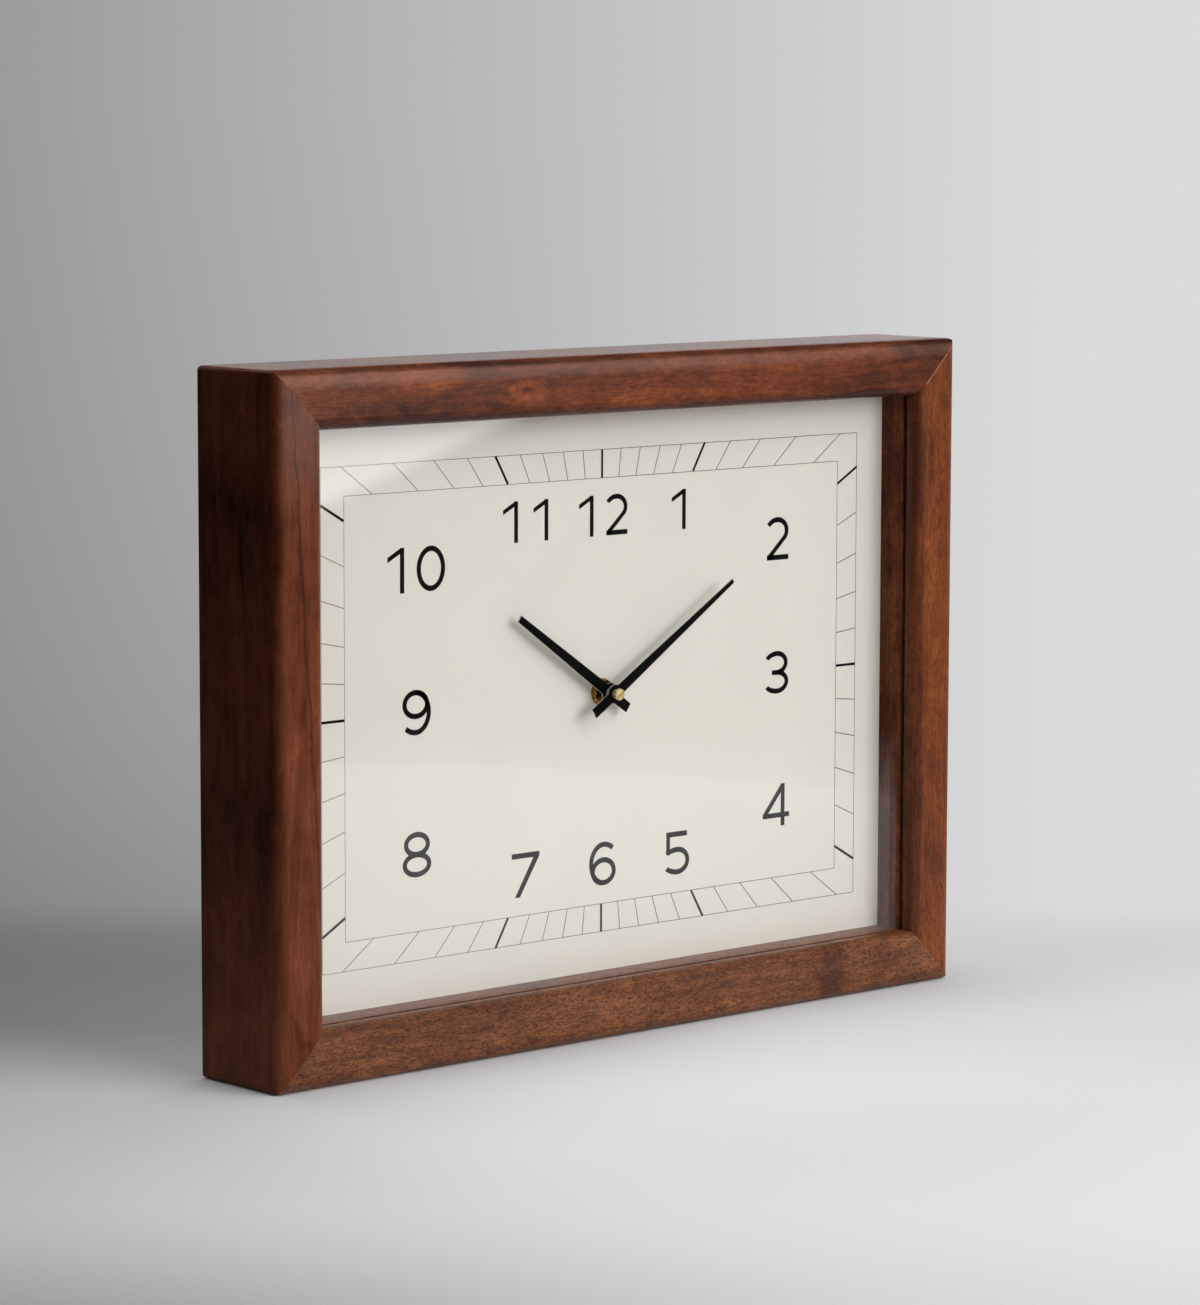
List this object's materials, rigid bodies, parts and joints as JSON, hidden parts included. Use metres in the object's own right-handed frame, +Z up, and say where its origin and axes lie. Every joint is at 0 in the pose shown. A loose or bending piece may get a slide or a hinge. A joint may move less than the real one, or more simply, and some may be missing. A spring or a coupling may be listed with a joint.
{
  "type": "wall clock",
  "caption": "Rectangular glazed wall clock: mitred hardwood case, ivory dial with numerals, black hands and a geared quartz movement behind.",
  "frame": {"origin": "middle of the footprint of the case, on the underside of the bottom rail", "axes": "+X to the viewer's right seen from the front, +Y from the dial to the wall, +Z up"},
  "size_m": [0.4064, 0.0532, 0.3048],
  "materials": {
    "case_wood": "reddish brown hardwood, satin lacquer",
    "glazing": "clear polished glass",
    "dial_card": "matt ivory card with black print",
    "board": "raw hardboard",
    "hand_metal": "satin black paint over aluminium",
    "brass": "polished brass",
    "steel": "zinc plated steel",
    "motor_iron": "plain soft iron sheet",
    "magnet": "matt ferrite",
    "washer_rubber": "matt black rubber",
    "black_plastic": "fine grained black moulding",
    "white_plastic": "natural white moulding",
    "copper": "enamelled copper wire",
    "circuit": "green laminate",
    "cell_jacket": "plain printed steel jacket"
  },
  "bodies": {
    "case": {"top_rail": "case_wood", "bottom_rail": "case_wood", "left_stile": "case_wood", "right_stile": "case_wood", "corner_spline_1": "case_wood", "corner_spline_2": "case_wood", "corner_spline_3": "case_wood", "corner_spline_4": "case_wood", "glass_pane": "glazing", "spacer_top": "case_wood", "spacer_bottom": "case_wood", "spacer_left": "case_wood", "spacer_right": "case_wood", "dial_print": "dial_card", "dial_board": "board", "board_screw_1": "steel", "board_screw_2": "steel", "board_screw_3": "steel", "board_screw_4": "steel", "board_screw_5": "steel", "board_screw_6": "steel", "hanger_plate": "steel", "hanger_screw_1": "steel", "hanger_screw_2": "steel", "movement_case": "black_plastic", "movement_cover": "black_plastic", "train_bridge": "white_plastic", "mounting_bush": "brass", "rubber_washer": "washer_rubber", "brass_washer": "brass", "mounting_nut": "brass", "stator": "motor_iron", "coil_core": "motor_iron", "coil_bobbin": "white_plastic", "coil_winding": "copper", "circuit_board": "circuit", "quartz_crystal": "steel", "control_chip": "circuit", "battery": "cell_jacket", "contact_positive": "steel", "contact_negative": "steel"},
    "minute_set": {"minute_arbor": "brass", "minute_hand": "hand_metal", "hand_nut": "brass"},
    "hour_set": {"hour_wheel": "white_plastic", "hour_hand": "hand_metal"},
    "motion_set": {"motion_wheel": "white_plastic"},
    "knob_set": {"setting_knob": "white_plastic"},
    "seconds_set": {"seconds_wheel": "white_plastic"},
    "third_set": {"third_wheel": "white_plastic"},
    "centre_set": {"centre_wheel": "white_plastic"},
    "intermediate_set": {"intermediate_wheel": "white_plastic"},
    "rotor_set": {"rotor_pinion": "white_plastic", "rotor_magnet": "magnet"}
  },
  "joints": [
    {"name": "minute_turn", "type": "hinge", "parent": "case", "child": "minute_set", "pos_m": [0, 0, 0.1524], "axis": [0, 1, 0], "continuous": true},
    {"name": "hour_turn", "type": "hinge", "parent": "case", "child": "hour_set", "pos_m": [0, 0, 0.1524], "axis": [0, 1, 0], "continuous": true},
    {"name": "motion_turn", "type": "hinge", "parent": "case", "child": "motion_set", "pos_m": [0.0054, 0, 0.16175], "axis": [0, 1, 0], "continuous": true},
    {"name": "knob_turn", "type": "hinge", "parent": "case", "child": "knob_set", "pos_m": [0.01555, 0, 0.16545], "axis": [0, 1, 0], "continuous": true},
    {"name": "seconds_turn", "type": "hinge", "parent": "case", "child": "seconds_set", "pos_m": [0, 0, 0.1524], "axis": [0, 1, 0], "continuous": true},
    {"name": "third_turn", "type": "hinge", "parent": "case", "child": "third_set", "pos_m": [-0.00886, 0, 0.15983], "axis": [0, 1, 0], "continuous": true},
    {"name": "centre_turn", "type": "hinge", "parent": "case", "child": "centre_set", "pos_m": [0, 0, 0.1524], "axis": [0, 1, 0], "continuous": true},
    {"name": "intermediate_turn", "type": "hinge", "parent": "case", "child": "intermediate_set", "pos_m": [-0.0096, 0, 0.1524], "axis": [0, 1, 0], "continuous": true},
    {"name": "rotor_turn", "type": "hinge", "parent": "case", "child": "rotor_set", "pos_m": [-0.01422, 0, 0.1604], "axis": [0, 1, 0], "continuous": true}
  ],
  "couplings": [
    {"joint": "hour_turn", "follows": "minute_turn", "ratio": 0.083333},
    {"joint": "motion_turn", "follows": "minute_turn", "ratio": -0.33333},
    {"joint": "knob_turn", "follows": "minute_turn", "ratio": 1},
    {"joint": "third_turn", "follows": "seconds_turn", "ratio": -0.125},
    {"joint": "centre_turn", "follows": "seconds_turn", "ratio": 0.016667},
    {"joint": "intermediate_turn", "follows": "seconds_turn", "ratio": -5},
    {"joint": "rotor_turn", "follows": "seconds_turn", "ratio": 30}
  ]
}
